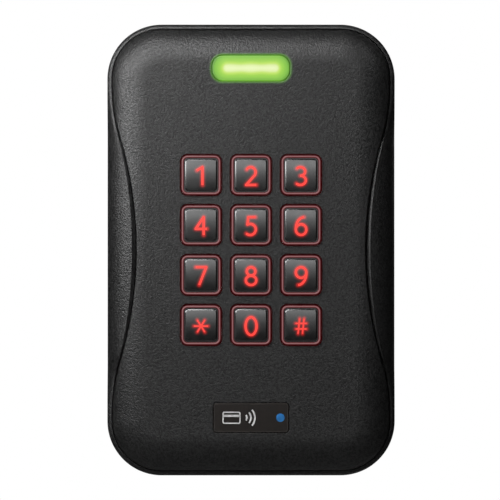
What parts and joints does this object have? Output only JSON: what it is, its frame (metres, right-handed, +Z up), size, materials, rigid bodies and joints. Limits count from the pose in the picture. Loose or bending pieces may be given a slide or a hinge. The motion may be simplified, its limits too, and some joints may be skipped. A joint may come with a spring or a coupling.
{
  "type": "keypad access reader",
  "caption": "Upright wall-mounted access reader: a waisted, domed front cover in a rounded housing, lit square push keys, a status light, and a screw-locked mounting plate behind.",
  "frame": {"origin": "on the wall plane, midway between the two wall-box screw holes of the mounting plate", "axes": "+Z up along the longest side, +X to the right seen from the front, +Y from the front into the wall"},
  "size_m": [0.0826, 0.0244, 0.1296],
  "materials": {
    "shell_black": "finely textured charcoal-black moulding",
    "inner_black": "plain matte black moulding",
    "plate_grey": "plain matte dark moulding",
    "key_red": "translucent pinkish-red light guide, lit from behind",
    "key_black": "glossy black cap with a lit red legend",
    "lens_green": "translucent lens, lit green",
    "guide_clear": "clear light guide",
    "led_white": "light-emitting diode",
    "badge_film": "dark brown-black printed film",
    "mat_silicone": "translucent silicone",
    "seal_rubber": "black seal",
    "board_green": "solder-masked circuit board",
    "connector_black": "black connector plastic",
    "chip_black": "moulded component",
    "terminal_green": "green terminal plastic",
    "coil_copper": "enamelled copper winding",
    "can_tin": "tin-plated",
    "steel": "zinc-plated",
    "insert_brass": "turned brass"
  },
  "bodies": {
    "reader": {"housing": "shell_black", "front_cover": "shell_black", "back_cover": "inner_black", "mounting_plate": "plate_grey", "plate_insert": "insert_brass", "security_screw": "steel", "cover_screws": "steel", "cover_gasket": "seal_rubber", "front_cover_seal": "seal_rubber", "status_lens": "lens_green", "status_light_guide": "guide_clear", "status_leds": "led_white", "badge": "badge_film", "keypad_mat": "mat_silicone", "keypad_board": "board_green", "keypad_board_screws": "steel", "backlight_leds": "led_white", "main_board": "board_green", "main_board_screws": "steel", "board_link_header": "connector_black", "board_link_socket": "connector_black", "antenna_coil": "coil_copper", "coil_former": "connector_black", "shield_can": "can_tin", "logic_chips": "chip_black", "buzzer": "connector_black", "terminal_block": "terminal_green", "terminal_screws": "steel", "terminal_seal": "seal_rubber", "tamper_sensor": "chip_black", "tamper_window": "guide_clear"},
    "key_1": {"key_body_1": "key_red", "key_cap_1": "key_black"},
    "key_2": {"key_body_2": "key_red", "key_cap_2": "key_black"},
    "key_3": {"key_body_3": "key_red", "key_cap_3": "key_black"},
    "key_4": {"key_body_4": "key_red", "key_cap_4": "key_black"},
    "key_5": {"key_body_5": "key_red", "key_cap_5": "key_black"},
    "key_6": {"key_body_6": "key_red", "key_cap_6": "key_black"},
    "key_7": {"key_body_7": "key_red", "key_cap_7": "key_black"},
    "key_8": {"key_body_8": "key_red", "key_cap_8": "key_black"},
    "key_9": {"key_body_9": "key_red", "key_cap_9": "key_black"},
    "key_star": {"key_body_star": "key_red", "key_cap_star": "key_black"},
    "key_0": {"key_body_0": "key_red", "key_cap_0": "key_black"},
    "key_hash": {"key_body_hash": "key_red", "key_cap_hash": "key_black"}
  },
  "joints": [
    {"name": "key_1_press", "type": "slide", "parent": "reader", "child": "key_1", "axis": [0, 1, 0], "range_m": [0, 0.0012], "stiffness_N_per_m": 1200, "springref_m": -0.0005, "deforming": ["keypad_mat"]},
    {"name": "key_2_press", "type": "slide", "parent": "reader", "child": "key_2", "axis": [0, 1, 0], "range_m": [0, 0.0012], "stiffness_N_per_m": 1200, "springref_m": -0.0005, "deforming": ["keypad_mat"]},
    {"name": "key_3_press", "type": "slide", "parent": "reader", "child": "key_3", "axis": [0, 1, 0], "range_m": [0, 0.0012], "stiffness_N_per_m": 1200, "springref_m": -0.0005, "deforming": ["keypad_mat"]},
    {"name": "key_4_press", "type": "slide", "parent": "reader", "child": "key_4", "axis": [0, 1, 0], "range_m": [0, 0.0012], "stiffness_N_per_m": 1200, "springref_m": -0.0005, "deforming": ["keypad_mat"]},
    {"name": "key_5_press", "type": "slide", "parent": "reader", "child": "key_5", "axis": [0, 1, 0], "range_m": [0, 0.0012], "stiffness_N_per_m": 1200, "springref_m": -0.0005, "deforming": ["keypad_mat"]},
    {"name": "key_6_press", "type": "slide", "parent": "reader", "child": "key_6", "axis": [0, 1, 0], "range_m": [0, 0.0012], "stiffness_N_per_m": 1200, "springref_m": -0.0005, "deforming": ["keypad_mat"]},
    {"name": "key_7_press", "type": "slide", "parent": "reader", "child": "key_7", "axis": [0, 1, 0], "range_m": [0, 0.0012], "stiffness_N_per_m": 1200, "springref_m": -0.0005, "deforming": ["keypad_mat"]},
    {"name": "key_8_press", "type": "slide", "parent": "reader", "child": "key_8", "axis": [0, 1, 0], "range_m": [0, 0.0012], "stiffness_N_per_m": 1200, "springref_m": -0.0005, "deforming": ["keypad_mat"]},
    {"name": "key_9_press", "type": "slide", "parent": "reader", "child": "key_9", "axis": [0, 1, 0], "range_m": [0, 0.0012], "stiffness_N_per_m": 1200, "springref_m": -0.0005, "deforming": ["keypad_mat"]},
    {"name": "key_star_press", "type": "slide", "parent": "reader", "child": "key_star", "axis": [0, 1, 0], "range_m": [0, 0.0012], "stiffness_N_per_m": 1200, "springref_m": -0.0005, "deforming": ["keypad_mat"]},
    {"name": "key_0_press", "type": "slide", "parent": "reader", "child": "key_0", "axis": [0, 1, 0], "range_m": [0, 0.0012], "stiffness_N_per_m": 1200, "springref_m": -0.0005, "deforming": ["keypad_mat"]},
    {"name": "key_hash_press", "type": "slide", "parent": "reader", "child": "key_hash", "axis": [0, 1, 0], "range_m": [0, 0.0012], "stiffness_N_per_m": 1200, "springref_m": -0.0005, "deforming": ["keypad_mat"]}
  ]
}
